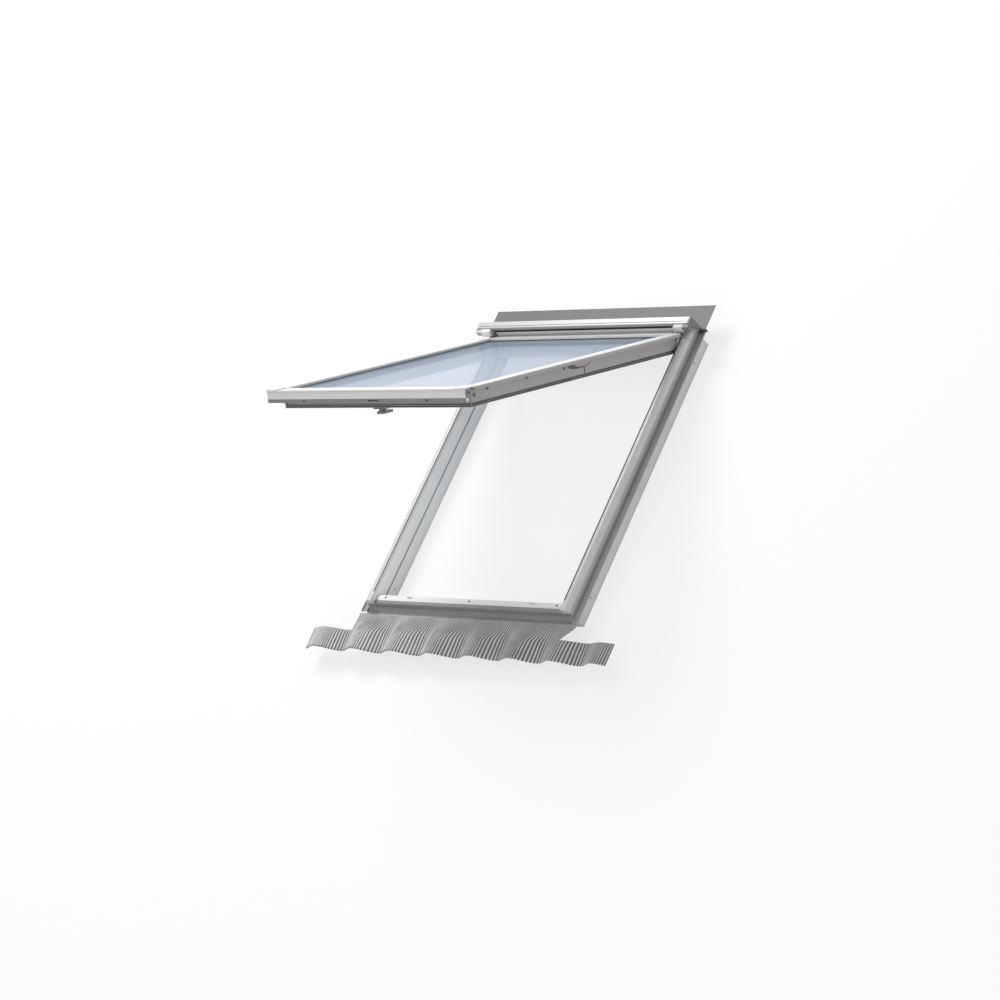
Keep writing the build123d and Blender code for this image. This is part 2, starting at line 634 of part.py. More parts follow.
def sash_bottom_rail():
    """Bottom sash member with the ledge that reaches out over the sill."""
    inner = SASH_BOTTOM_EDGE + BOTTOM_RAIL_WIDTH
    wall = PANE_BOTTOM - PANE_EDGE_PLAY
    points = [(inner, SASH_LOW), (SASH_BOTTOM_EDGE, SASH_LOW), (SASH_BOTTOM_EDGE, REBATE), (inner, REBATE)]
    body = rounded_at(outline(points), (inner, SASH_LOW), EDGE_RADIUS)
    ledge = [(LEDGE_FRONT, LEDGE_LOW), (SASH_BOTTOM_EDGE, LEDGE_LOW), (SASH_BOTTOM_EDGE, REBATE)]
    ledge += [(wall, REBATE), (wall, WALL_TOP), (LEDGE_FRONT, WALL_TOP)]
    rail = along_x(body, -STILE_INNER, STILE_INNER)
    rail += along_x(outline(ledge), -SASH_HALF_WIDTH, SASH_HALF_WIDTH)
    for x in ((-SASH_HALF_WIDTH, WALL - SASH_HALF_WIDTH), (SASH_HALF_WIDTH - WALL, SASH_HALF_WIDTH)):
        rail += bar(x, (wall, SASH_BOTTOM_EDGE), (REBATE, WALL_TOP))
    return rail


def pane(low):
    """One sheet of glass."""
    return bar((-PANE_HALF_WIDTH, PANE_HALF_WIDTH), (PANE_BOTTOM, PANE_TOP), (low, low + PANE))


def pane_spacer():
    """Metal spacer between the two sheets of glass."""
    low_y = PANE_BOTTOM + SPACER_INSET
    high_y = PANE_TOP - SPACER_INSET
    z = (SPACER_LOW, OUTER_PANE_LOW)
    return ring(PANE_HALF_WIDTH - SPACER_INSET, low_y, high_y, SPACER_WIDTH, z)


def glazing_bed():
    """Seal that the glazing lies on."""
    z = (REBATE, INNER_PANE_LOW)
    return ring(PANE_HALF_WIDTH, PANE_BOTTOM, PANE_TOP, BED_WIDTH, z)


def glazing_seal():
    """Seal between the glazing and the metal covers."""
    return ring(PANE_HALF_WIDTH, PANE_BOTTOM, PANE_TOP, TOP_SEAL_WIDTH, (SEAL_BED, LIP_LOW))


def lower_sash_cover():
    """Right cover below the centre pivot, with a narrow strip past the pivot."""
    end = PIVOT_Y - PIVOT_NOTCH_BELOW - MOVING_GAP
    cover = along_y(flange_section(FLANGE_INNER, LIP_LOW), BOTTOM_FLANGE_END, end)
    narrow = [(FLANGE_INNER, LIP_LOW), (FLANGE_INNER, FLANGE_TOP), (SASH_HALF_WIDTH - SLIDE_GAP, FLANGE_TOP)]
    return cover + along_y(folded(narrow, SHEET), end, PIVOT_Y + PIVOT_NOTCH_ABOVE - MOVING_GAP)


def lower_casing():
    """Right side sheet below the centre pivot, cut back round the end of the arm's cover."""
    end = CASING_JOINT_Y - MOVING_GAP
    z = (CASING_LOW, FLANGE_UNDER)
    across = (SASH_HALF_WIDTH, LOWER_CASING_OUTER)
    casing = bar((LOWER_CASING_INNER, LOWER_CASING_OUTER), (CASING_START, end), z)
    casing += bar(across, (CASING_START, end), (CASING_LOW, CASING_LOW + SHEET))
    casing += bar(across, (CASING_START, CASING_START + SHEET), z)
    return casing - pin(PIVOT_NOTCH_BELOW + MOVING_GAP, across, PIVOT_Y, PIVOT_Z)


def bottom_sash_cover():
    """Front cover of the sash with drain slots near its lower edge."""
    points = [(SASH_FRONT_Y, SASH_FRONT_LOW), (SASH_FRONT_Y, FLANGE_TOP), (BOTTOM_FLANGE_END, FLANGE_TOP)]
    points.append((BOTTOM_FLANGE_END, LIP_LOW))
    cover = along_x(folded(points, SHEET, (1, FOLD_RADIUS)), -FLANGE_OUTER, FLANGE_OUTER)
    slots = [(FRONT_SLOT_X, FRONT_SLOT), (-CATCH_X, CATCH_SLOT), (CATCH_X, CATCH_SLOT)]
    low = SASH_FRONT_LOW + SLOT_LIFT
    for x, (length, height) in slots:
        cover -= bar((x - length / 2, x + length / 2), (SASH_FRONT_Y, LEDGE_FRONT), (low, low + height))
    for x in ((-FLANGE_OUTER, -PANE_HALF_WIDTH), (PANE_HALF_WIDTH, FLANGE_OUTER)):
        cover -= bar(x, (BOTTOM_FLANGE_END - SHEET, BOTTOM_FLANGE_END), (LIP_LOW, FLANGE_UNDER))
    return cover


def top_sash_cover():
    """Cover along the top of the sash, between the side covers."""
    start = TOP_FLANGE_END - TOP_FLANGE_WIDTH
    points = [(start, LIP_LOW), (start, FLANGE_TOP), (TOP_FLANGE_END, FLANGE_TOP)]
    points.append((TOP_FLANGE_END, FLANGE_TOP - FLANGE_LIP))
    half = FLANGE_INNER - SLIDE_GAP
    return along_x(folded(points, SHEET), -half, half)


def lipped_section(seat, way):
    """Section of the lipped seal strip on a face of the sash that looks one way along its axis."""
    low = (SASH_LOW + CASING_LOW - STRIP_HEIGHT) / 2
    pitch = (STRIP_HEIGHT - LIP_HEIGHT) / (LIPS - 1)
    points = [(seat, low)]
    for index in range(LIPS):
        lip_low = low + index * pitch
        lip_top = lip_low + LIP_HEIGHT
        points += [(seat + way * LIP_REACH, lip_low), (seat + way * LIP_REACH, lip_top)]
        if index < LIPS - 1:
            points += [(seat + way * STRIP_CORE, lip_top), (seat + way * STRIP_CORE, lip_low + pitch)]
    points.append((seat, low + STRIP_HEIGHT))
    return outline(points)


def side_seal():
    """Lipped strip along the outer face of the right stile."""
    return along_y(lipped_section(SASH_HALF_WIDTH, 1), SASH_BOTTOM_EDGE, SASH_TOP_EDGE)


def bottom_seal():
    """Lipped strip on the outer face of the bottom rail, round to the side strips."""
    half = SASH_HALF_WIDTH + LIP_REACH
    return along_x(lipped_section(SASH_BOTTOM_EDGE, -1), -half, half)


def sash_corner():
    """Dark end piece at the right lower corner of the sash."""
    y = (LEDGE_FRONT, BOTTOM_FLANGE_END)
    block = bar((SASH_HALF_WIDTH, FLANGE_OUTER - SHEET), y, (FLANGE_UNDER - CORNER_BLOCK, FLANGE_UNDER))
    side_x = (SASH_HALF_WIDTH, LOWER_CASING_OUTER)
    return block + bar(side_x, (LEDGE_FRONT, CASING_START), (LEDGE_LOW, FLANGE_UNDER))


def pivot_pin():
    """Right pin of the centre pivot, fixed in the stile and running in the arm."""
    return pin(PIVOT_PIN_RADIUS, (SASH_HALF_WIDTH, ARM_OUTER - SLIDE_GAP), PIVOT_Y, PIVOT_Z)


def casing_screws():
    """Screw heads on the right lower casing."""
    x = (LOWER_CASING_OUTER, LOWER_CASING_OUTER + CASING_SCREW_HEAD)
    places = [(CASING_START + along, CASING_LOW + up) for along, up in CASING_SCREWS]
    places.append((PIVOT_Y - PIVOT_SCREW[0], CASING_LOW + PIVOT_SCREW[1]))
    return [pin(CASING_SCREW_RADIUS, x, y, z) for y, z in places]


def handle_base():
    """Plate on the inner face of the bottom rail, with the spindle of the lever."""
    width, depth, _ = HANDLE_BASE
    y = (HANDLE_Y - depth / 2, HANDLE_Y + depth / 2)
    plate = bar((-width / 2, width / 2), y, (HANDLE_LOW, SASH_LOW))
    plate = fillet(plate.edges().filter_by(Axis.Z), HANDLE_BASE_ROUNDING)
    return plate + stud(HANDLE_HUB_RADIUS / 2, 0, HANDLE_Y, (HANDLE_LOW - HANDLE_HUB_HEIGHT, HANDLE_LOW))


def handle_lever():
    """Lever that turns on the spindle."""
    width, length, height = HANDLE_GRIP
    top = HANDLE_LOW - HANDLE_GAP
    hub_low = top - HANDLE_HUB_HEIGHT
    start = HANDLE_Y - HANDLE_GRIP_BEHIND
    lever = bar((-width / 2, width / 2), (start, start + length), (hub_low - height, hub_low))
    lever = fillet(lever.edges().filter_by(Axis.Z), HANDLE_GRIP_ROUNDING)
    lever += stud(HANDLE_HUB_RADIUS, 0, HANDLE_Y, (hub_low, top))
    bore = (HANDLE_LOW - HANDLE_HUB_HEIGHT - HANDLE_GAP, top)
    return lever - stud(HANDLE_HUB_RADIUS / 2 + RUNNING_FIT, 0, HANDLE_Y, bore)


def opened(part):
    """The shut part turned out about the main hinge to the angle it is shown at."""
    return Pos(0, HINGE_Y, HINGE_Z) * Rot(-OPEN_ANGLE, 0, 0) * Pos(0, -HINGE_Y, -HINGE_Z) * part


def both_sides(name, part):
    """The right part and its mirror image under their own names."""
    return {name + "_right": part, name + "_left": left_of(part)}


def frame_nodes():
    """Everything that is fixed in the roof."""
    nodes = {"frame_head": frame_head(), "frame_sill": frame_sill(), "frame_seal": seal_ring()}
    nodes.update(both_sides("frame_jamb", frame_jamb()))
    nodes.update(both_sides("side_cover", side_cover()))
    nodes.update(both_sides("upper_side_cover", upper_side_cover()))
    nodes.update(both_sides("side_channel", side_channel()))
    nodes.update(both_sides("hood_end_cap", hood_end_cap()))
    nodes.update(both_sides("hood_corner", hood_corner()))
    nodes.update(both_sides("hinge_bracket", hinge_bracket()))
    nodes["bottom_frame_cover"] = bottom_frame_cover()
    nodes["apron_rail"] = apron_rail()
    nodes["apron_flashing"] = apron_flashing()
    nodes["top_flashing"] = top_flashing()
    nodes["hood"] = hood()
    nodes["sill_screws"] = Compound(sill_screws())
    nodes["sill_strikers"] = Compound(sill_strikers())
    return nodes


def arm_nodes():
    """The two hinge arms with the covers that stay on them."""
    nodes = both_sides("hinge_arm", hinge_arm())
    nodes.update(both_sides("upper_sash_cover", upper_sash_cover()))
    nodes.update(both_sides("upper_casing", upper_casing()))
    nodes.update(both_sides("pivot_shield", pivot_shield()))
    nodes.update(both_sides("pivot_plate", pivot_plate()))
    return nodes


def sash_nodes():
    """The glazed sash and its handle."""
    nodes = {"sash_top_rail": sash_top_rail(), "sash_bottom_rail": sash_bottom_rail()}
    nodes.update(both_sides("sash_stile", sash_stile()))
    nodes.update(both_sides("lower_sash_cover", lower_sash_cover()))
    nodes.update(both_sides("lower_casing", lower_casing()))
    nodes.update(both_sides("sash_corner", sash_corner()))
    nodes.update(both_sides("pivot_pin", pivot_pin()))
    nodes.update(both_sides("casing_screws", Compound(casing_screws())))
    nodes["inner_pane"] = pane(INNER_PANE_LOW)
    nodes["outer_pane"] = pane(OUTER_PANE_LOW)
    nodes["pane_spacer"] = pane_spacer()
    nodes["glazing_bed"] = glazing_bed()
    nodes["glazing_seal"] = glazing_seal()
    nodes["bottom_sash_cover"] = bottom_sash_cover()
    nodes["top_sash_cover"] = top_sash_cover()
    nodes["bottom_seal"] = bottom_seal()
    nodes.update(both_sides("side_seal", side_seal()))
    nodes["handle_base"] = handle_base()
    nodes["handle_lever"] = handle_lever()
    return nodes


parts = frame_nodes()
parts.update({name: opened(part) for name, part in {**arm_nodes(), **sash_nodes()}.items()})
os.makedirs("parts", exist_ok=True)
for name, part in parts.items():
    export_step(part, "parts/" + name + ".step")
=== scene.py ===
import json
import math

import bmesh
import bpy
from mathutils import Matrix, Vector


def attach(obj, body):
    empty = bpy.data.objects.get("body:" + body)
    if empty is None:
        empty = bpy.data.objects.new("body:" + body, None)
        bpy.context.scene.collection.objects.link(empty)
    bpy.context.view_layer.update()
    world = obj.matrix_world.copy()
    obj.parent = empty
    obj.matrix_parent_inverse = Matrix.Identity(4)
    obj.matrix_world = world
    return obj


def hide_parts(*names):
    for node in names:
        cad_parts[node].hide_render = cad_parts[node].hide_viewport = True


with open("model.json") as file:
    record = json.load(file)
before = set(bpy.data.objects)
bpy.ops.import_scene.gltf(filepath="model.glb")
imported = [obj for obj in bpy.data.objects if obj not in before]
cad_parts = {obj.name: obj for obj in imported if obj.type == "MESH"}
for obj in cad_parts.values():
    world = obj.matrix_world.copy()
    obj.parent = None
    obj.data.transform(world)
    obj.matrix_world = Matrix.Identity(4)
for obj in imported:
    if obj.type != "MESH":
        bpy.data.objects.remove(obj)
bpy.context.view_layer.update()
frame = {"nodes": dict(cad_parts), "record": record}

# Camera, in metres and degrees. It stands to the lower right of the window and out from the roof.
CAMERA_PLACE = Vector((9.4173, -5.8064, 8.8326))
CAMERA_FORWARD = Vector((-0.674894, 0.400511, -0.619765))
CAMERA_LENS = 120.47
CAMERA_SENSOR = 36.0
ROOF_PITCH = 55.37

# The sash is turned out about the main hinge. Pieces on it are placed in its shut position.
HINGE = Vector((0.0, 0.652, 0.145))
OPEN_ANGLE = math.radians(-45.0)

FLOOR_REACH = 60.0
FLOOR_WHITE = 0.72
EDGE_BEVEL = 0.0006
SMOOTH_ANGLE = 35.0

# Sizes of the part, in the shut position
FLANGE_TOP = 0.150
# Below this level the sash cover's folded lip is painted in shade.
FLANGE_SHEET_LOW = 0.1478
# Below this level the front cover's lower band is painted in shade.
FRONT_BAND_TOP = 0.1135
FLANGE_LIP_INSIDE = 0.540
FLANGE_OUTER = 0.555
FLANGE_INNER = 0.500
CASING_FACE = 0.5283
SHIELD_BACK = 0.5286
SHIELD_FACE = 0.5296
FRONT_FACE = -0.707
FRONT_FLANGE_END = -0.648

# Pleated apron. It follows the same waves as the solid, with finer pleats.
APRON_TOP_Y = -0.736
APRON_WING_Y = -0.818
APRON_LOW_Y = -0.920
APRON_TOP_Z = 0.080
APRON_HALF_WIDTH = 0.848
APRON_THROAT = 0.615
APRON_SHEET = 0.0012
WAVE_PITCH = 0.223
WAVE_RISE = 0.030
WAVE_START = 0.014
WAVE_LONG_SIDE = 0.65
WAVE_GROWTH = 0.85
PLEATS_PER_WAVE = 22
STEPS_PER_PLEAT = 4
PLEAT_RISE = 0.006
PLEAT_START = 0.45
SWEEP_MEAN = 0.155
SWEEP_SWING = 0.125
SWEEP_PEAK = 0.33
SWEEP_LENGTH = 0.55
THROAT_ROWS = 12
WING_ROWS = 12

# Bowed plates at the centre pivot: middle, half length, depth below their upper edge, fullness
PLATE_TOP = 0.141
# The shield is the dark plate: painted shade for the gap round the pivot.
SHIELD_BOW = (0.008, 0.076, 0.031, 2.6)
COVER_BOW = (0.024, 0.061, 0.0255, 2.2)
COVER_SHEET = 0.0016
BOW_STEPS = 32

# Dark edge strip on the joint between the casings
JOINT_STRIP_X = (0.5262, 0.5287)
JOINT_STRIP_Y = (0.0328, 0.0375)
JOINT_STRIP_Z = (0.086, 0.114)

# Pressed rings round the casing screws: places along the slope and out from the frame
CASING_SCREWS = ((-0.629, 0.112), (-0.550, 0.126), (-0.315, 0.128), (-0.087, 0.126))
RING_PROFILE = ((0.0088, 0.0), (0.0078, 0.0007), (0.0056, 0.0004), (0.0044, 0.0002))
RING_STEPS = 24

# Small folded strips
CORNER_CAP_RISE = 0.0035
CORNER_CAP_SHEET = 0.0015
CORNER_CAP_REACH = 0.003
BEAD_REACH = 0.0025
BEAD_HEIGHT = 0.0055
# Darker strip under the front bead: its painted shadow.
BEAD_SHADOW_HEIGHT = 0.0013
# Black strip behind the front cover's slots: their painted shade.
SLOT_SHADE_FRONT = -0.7048
SLOT_SHADE_LOW = 0.0995
SLOT_SHADE_HALF_WIDTH = 0.5
HOOD_STRIP_LOW = (0.6635, 0.1195)
HOOD_STRIP_HIGH = (0.6715, 0.160)
HOOD_STRIP_FOOT = 0.012
HOOD_STRIP_HALF_WIDTH = 0.505
STRIP_SHEET = 0.0015
HOOD_FRONT_Y = 0.673
HOOD_TOP_Z = 0.188
# The hood's rib and bead are dark strips: painted shade lines.
HOOD_BEAD_Z = (0.1715, 0.1735)
HOOD_RIB_Y = 0.684
HOOD_HALF_WIDTH = 0.5885
EDGE_STRIP_X = (0.5345, 0.5395)
EDGE_STRIP_Y = (-0.655, 0.643)
EDGE_STRIP_Z = (0.1299, 0.1318)


def new_material(name):
    """Empty node material with its tree and main shader."""
    material = bpy.data.materials.new(name)
    material.use_nodes = True
    tree = material.node_tree
    shader = tree.nodes["Principled BSDF"]
    return material, tree, shader


def place_in(tree, stretch=(1, 1, 1)):
    """The object's own coordinates, pulled out by the stretch."""
    place = tree.nodes.new("ShaderNodeTexCoord")
    mapping = tree.nodes.new("ShaderNodeMapping")
    mapping.inputs["Scale"].default_value = stretch
    tree.links.new(place.outputs["Object"], mapping.inputs["Vector"])
    return mapping.outputs["Vector"]


def object_noise(tree, scale, detail, stretch=(1, 1, 1)):
    """Noise laid in the object's own space."""
    noise = tree.nodes.new("ShaderNodeTexNoise")
    noise.inputs["Scale"].default_value = scale
    noise.inputs["Detail"].default_value = detail
    tree.links.new(place_in(tree, stretch), noise.inputs["Vector"])
    return noise.outputs["Fac"]


def ramp_between(tree, factor, dark, light, low=0.3, high=0.7):
    """Colour that goes from dark to light as the factor rises."""
    ramp = tree.nodes.new("ShaderNodeValToRGB")
    ramp.color_ramp.elements[0].position = low
    ramp.color_ramp.elements[0].color = (*dark, 1)
    ramp.color_ramp.elements[1].position = high
    ramp.color_ramp.elements[1].color = (*light, 1)
    tree.links.new(factor, ramp.inputs["Fac"])
    return ramp.outputs["Color"]


def mixed(tree, factor, one, two):
    """Colour one where the factor is 0 and colour two where it is 1."""
    mix = tree.nodes.new("ShaderNodeMix")
    mix.data_type = "RGBA"
    tree.links.new(factor, mix.inputs["Factor"])
    tree.links.new(one, mix.inputs["A"])
    tree.links.new(two, mix.inputs["B"])
    return mix.outputs["Result"]


def rough_range(tree, shader, factor, low, high):
    """Roughness that wanders between two values."""
    spread = tree.nodes.new("ShaderNodeMapRange")
    spread.inputs["To Min"].default_value = low
    spread.inputs["To Max"].default_value = high
    tree.links.new(factor, spread.inputs["Value"])
    tree.links.new(spread.outputs["Result"], shader.inputs["Roughness"])


def bumped(tree, shader, factor, strength, distance):
    """Surface relief from a factor."""
    bump = tree.nodes.new("ShaderNodeBump")
    bump.inputs["Strength"].default_value = strength
    bump.inputs["Distance"].default_value = distance
    tree.links.new(factor, bump.inputs["Height"])
    tree.links.new(bump.outputs["Normal"], shader.inputs["Normal"])


def tones(tone, spread):
    """A darker and a lighter neighbour of a colour."""
    dark = tuple(c * (1 - spread) for c in tone)
    light = tuple(min(1.0, c * (1 + spread)) for c in tone)
    return dark, light


def crevices(tree, reach):
    """Ambient-occlusion mask for painted shade: 0 in narrow corners and 1 in the open."""
    shade = tree.nodes.new("ShaderNodeAmbientOcclusion")
    shade.inputs["Distance"].default_value = reach
    shade.samples = 8
    spread = tree.nodes.new("ShaderNodeMapRange")
    spread.inputs["From Min"].default_value = 0.35
    spread.inputs["From Max"].default_value = 0.85
    tree.links.new(shade.outputs["AO"], spread.inputs["Value"])
    return spread.outputs["Result"]


def painted(name, tone, spread=0.04, rough=(0.35, 0.5), metallic=0.0, scale=9.0, grain=0.05, corner_shade=0.45,
            reach=0.012):
    """Painted or moulded surface: a faint wander in tone and gloss, fine relief, and painted shade that darkens its
    corners.
    """
    material, tree, shader = new_material(name)
    wander = object_noise(tree, scale, 3)
    unshaded = ramp_between(tree, wander, *tones(tone, spread))
    # Painted shade: a darker copy of the tone, laid into corners where the occlusion mask is low.
    shaded = ramp_between(tree, wander, *tones(tuple(c * corner_shade for c in tone), spread))
    colour = mixed(tree, crevices(tree, reach), shaded, unshaded)
    tree.links.new(colour, shader.inputs["Base Color"])
    rough_range(tree, shader, wander, *rough)
    bumped(tree, shader, object_noise(tree, 900, 2), grain, 0.0004)
    shader.inputs["Metallic"].default_value = metallic
    return material


def fold_value(tree):
    """0 in the valley of a pleat and 1 on its ridge, as the apron's mesh stores it."""
    fold = tree.nodes.new("ShaderNodeAttribute")
    fold.attribute_name = "fold"
    return fold.outputs["Fac"]


def shut_level(tree):
    """Height of a point above the roof as it is with the sash shut."""
    up = tree.nodes.new("ShaderNodeVectorMath")
    up.operation = "DOT_PRODUCT"
    up.inputs[1].default_value = (0.0, -math.sin(OPEN_ANGLE), math.cos(OPEN_ANGLE))
    tree.links.new(place_in(tree), up.inputs[0])
    level = tree.nodes.new("ShaderNodeMath")
    level.inputs[1].default_value = HINGE.z + math.sin(OPEN_ANGLE) * HINGE.y - math.cos(OPEN_ANGLE) * HINGE.z
    tree.links.new(up.outputs["Value"], level.inputs[0])
    return level.outputs["Value"]


def beyond(tree, half_width):
    """1 where a point lies farther out sideways than the half width, and 0 elsewhere."""
    split = tree.nodes.new("ShaderNodeSeparateXYZ")
    tree.links.new(place_in(tree), split.inputs["Vector"])
    size = tree.nodes.new("ShaderNodeMath")
    size.operation = "ABSOLUTE"
    tree.links.new(split.outputs["X"], size.inputs[0])
    outside = tree.nodes.new("ShaderNodeMath")
    outside.operation = "GREATER_THAN"
    outside.inputs[1].default_value = half_width
    tree.links.new(size.outputs["Value"], outside.inputs[0])
    return outside.outputs["Value"]


def shade_banded(name, shade_tone, high_tone, edge, inside=0.0):
    """Sash cover whose folded lower part is painted darker than its outer face, as painted shade, beyond a half width.
    """
    material, tree, shader = new_material(name)
    wander = object_noise(tree, 9, 3)
    low = ramp_between(tree, wander, *tones(shade_tone, 0.05))
    high = ramp_between(tree, wander, *tones(high_tone, 0.02))
    span = tree.nodes.new("ShaderNodeMapRange")
    span.inputs["From Min"].default_value = edge - 0.0002
    span.inputs["From Max"].default_value = edge + 0.0002
    tree.links.new(shut_level(tree), span.inputs["Value"])
    # Painted shade: below the edge level the cover takes the darker tone.
    banded = mixed(tree, span.outputs["Result"], low, high)
    tree.links.new(mixed(tree, beyond(tree, inside), high, banded), shader.inputs["Base Color"])
    rough_range(tree, shader, wander, 0.28, 0.4)
    bumped(tree, shader, object_noise(tree, 900, 2), 0.05, 0.0004)
    shader.inputs["Metallic"].default_value = 0.15
    return material


def pleated_metal(name, dark, light):
    """Pleated sheet: painted shade in the valleys, painted highlight on the ridges, and a faint wander."""
    material, tree, shader = new_material(name)
    wander = object_noise(tree, 16, 4)
    valley_shade = ramp_between(tree, wander, *tones(dark, 0.25))
    ridge = ramp_between(tree, wander, *tones(light, 0.12))
    span = tree.nodes.new("ShaderNodeMapRange")
    span.inputs["From Min"].default_value = 0.15
    span.inputs["From Max"].default_value = 0.75
    tree.links.new(fold_value(tree), span.inputs["Value"])
    # Painted shade and highlight: dark in the pleat valleys, light on the ridges.
    shade = mixed(tree, span.outputs["Result"], valley_shade, ridge)
    tree.links.new(shade, shader.inputs["Base Color"])
    rough_range(tree, shader, wander, 0.45, 0.6)
    bumped(tree, shader, object_noise(tree, 500, 2), 0.1, 0.0005)
    shader.inputs["Metallic"].default_value = 0.2
    return material


def shade_pitted(name, tone, scale, spot):
    """Moulded corner piece with small recesses, their darkness painted shade."""
    material, tree, shader = new_material(name)
    cells = tree.nodes.new("ShaderNodeTexVoronoi")
    cells.inputs["Scale"].default_value = scale
    tree.links.new(place_in(tree), cells.inputs["Vector"])
    # Painted shade: the tone darkened inside each recess spot.
    dark = tuple(c * 0.12 for c in tone)
    colour = ramp_between(tree, cells.outputs["Distance"], dark, tone, spot, spot + 0.15)
    tree.links.new(colour, shader.inputs["Base Color"])
    rough_range(tree, shader, object_noise(tree, 60, 3), 0.4, 0.6)
    bumped(tree, shader, cells.outputs["Distance"], 0.4, 0.001)
    return material


def crimped_metal(name, tone):
    """Folded seam with a row of small crimps, with painted shade in their hollows."""
    material, tree, shader = new_material(name)
    crimps = tree.nodes.new("ShaderNodeTexWave")
    crimps.inputs["Scale"].default_value = 32.0
    tree.links.new(place_in(tree, (1, 0, 0)), crimps.inputs["Vector"])
    # Painted shade in the crimps' hollows.
    dark = tuple(c * 0.12 for c in tone)
    colour = ramp_between(tree, crimps.outputs["Fac"], dark, tone, 0.35, 0.6)
    tree.links.new(colour, shader.inputs["Base Color"])
    rough_range(tree, shader, object_noise(tree, 14, 3), 0.4, 0.55)
    bumped(tree, shader, crimps.outputs["Fac"], 0.6, 0.002)
    return material


def glass_material(name):
    """Clear pane with a light blue tint, thin enough to look through from a low angle."""
    material, tree, shader = new_material(name)
    wander = object_noise(tree, 2.0, 2)
    colour = ramp_between(tree, wander, (0.42, 0.53, 0.66), (0.47, 0.58, 0.70))
    tree.links.new(colour, shader.inputs["Base Color"])
    rough_range(tree, shader, wander, 0.12, 0.2)
    shader.inputs["IOR"].default_value = 1.12
    shader.inputs["Alpha"].default_value = 0.3
    return material


def all_materials():
    """One material for each slot of the part, and some for single pieces."""
    return {
        "white_lacquered_wood": painted("white_lacquered_wood", (0.84, 0.84, 0.83), 0.02, (0.35, 0.45)),
        "cover_metal": painted("cover_metal", (0.66, 0.66, 0.65), 0.03, (0.28, 0.4), 0.25, reach=0.016),
        "casing_metal": painted("casing_metal", (0.36, 0.355, 0.345), 0.05, (0.3, 0.45), 0.2),
        "dark_flashing": painted("dark_flashing", (0.115, 0.115, 0.112), 0.1, (0.45, 0.6), 0.2),
        "apron_metal": pleated_metal("apron_metal", (0.06, 0.06, 0.058), (0.58, 0.58, 0.57)),
        "rubber_seal": painted("rubber_seal", (0.25, 0.25, 0.245), 0.15, (0.55, 0.7), corner_shade=0.25, reach=0.006),
        "dark_plastic": painted("dark_plastic", (0.10, 0.10, 0.098), 0.4, (0.45, 0.6), scale=220),
        "light_plastic": painted("light_plastic", (0.55, 0.55, 0.54), 0.03, (0.4, 0.5)),
        "zinc_steel": painted("zinc_steel", (0.30, 0.30, 0.30), 0.1, (0.3, 0.45), 0.7),
        "glass": glass_material("glass"),
        "spacer_metal": painted("spacer_metal", (0.40, 0.41, 0.42), 0.05, (0.3, 0.4), 0.6),
        "handle_metal": painted("handle_metal", (0.22, 0.22, 0.22), 0.06, (0.3, 0.4), 0.5),
        "seam": crimped_metal("seam", (0.33, 0.33, 0.325)),
        # Darker copy of the cover metal: painted shade of the open sash on the frame's bottom cover.
        "shaded_nose_metal": painted("shaded_nose_metal", (0.25, 0.25, 0.245), 0.06, (0.3, 0.42), 0.3),
        "sash_metal": painted("sash_metal", (0.78, 0.78, 0.77), 0.02, (0.28, 0.4), 0.15),
        "hood_metal": painted("hood_metal", (0.38, 0.38, 0.372), 0.03, (0.3, 0.42), 0.25),
        "channel_metal": painted("channel_metal", (0.34, 0.34, 0.335), 0.06, (0.4, 0.55), 0.1, corner_shade=0.15, reach=0.02),
        # Grey for the frame seal and for the painted shadow under the front bead.
        "pale_seal_and_shadow": painted("pale_seal_and_shadow", (0.33, 0.33, 0.325), 0.1, (0.55, 0.7)),
        # Black for the casing joint, the cover edge strips and the painted shade behind the front slots.
        "black_strip": painted("black_strip", (0.035, 0.035, 0.035), 0.15, (0.55, 0.7)),
        # Flange and front covers: lower bands painted dark as shade.
        "flange_metal": shade_banded("flange_metal", (0.37, 0.365, 0.355), (0.78, 0.78, 0.77), FLANGE_SHEET_LOW,
                                  FLANGE_LIP_INSIDE),
        "front_metal": shade_banded("front_metal", (0.24, 0.24, 0.235), (0.74, 0.74, 0.73), FRONT_BAND_TOP),
        "end_plastic": painted("end_plastic", (0.18, 0.18, 0.177), 0.3, (0.45, 0.6), scale=200),
        "corner_plastic": shade_pitted("corner_plastic", (0.28, 0.28, 0.27), 70.0, 0.33),
        # Screws and the rings round them: painted dark as the shade of their recesses.
        "ring_metal": painted("ring_metal", (0.17, 0.17, 0.17), 0.1, (0.4, 0.55), 0.4),
    }


OWN_MATERIALS = {
    "apron_rail": "seam",
    "bottom_frame_cover": "shaded_nose_metal",
    "bottom_sash_cover": "front_metal",
    "top_sash_cover": "sash_metal",
    "lower_sash_cover_right": "flange_metal",
    "lower_sash_cover_left": "flange_metal",
    "upper_sash_cover_right": "flange_metal",
    "upper_sash_cover_left": "flange_metal",
    "sill_strikers": "cover_metal",
    "hood": "hood_metal",
    "hood_corner_left": "sash_metal",
    "hood_end_cap_left": "hood_metal",
    "hood_end_cap_right": "end_plastic",
    "side_channel_right": "channel_metal",
    "side_channel_left": "channel_metal",
    "frame_seal": "pale_seal_and_shadow",
    "sash_corner_right": "corner_plastic",
    "sash_corner_left": "corner_plastic",
    "casing_screws_right": "ring_metal",
    "casing_screws_left": "ring_metal",
}


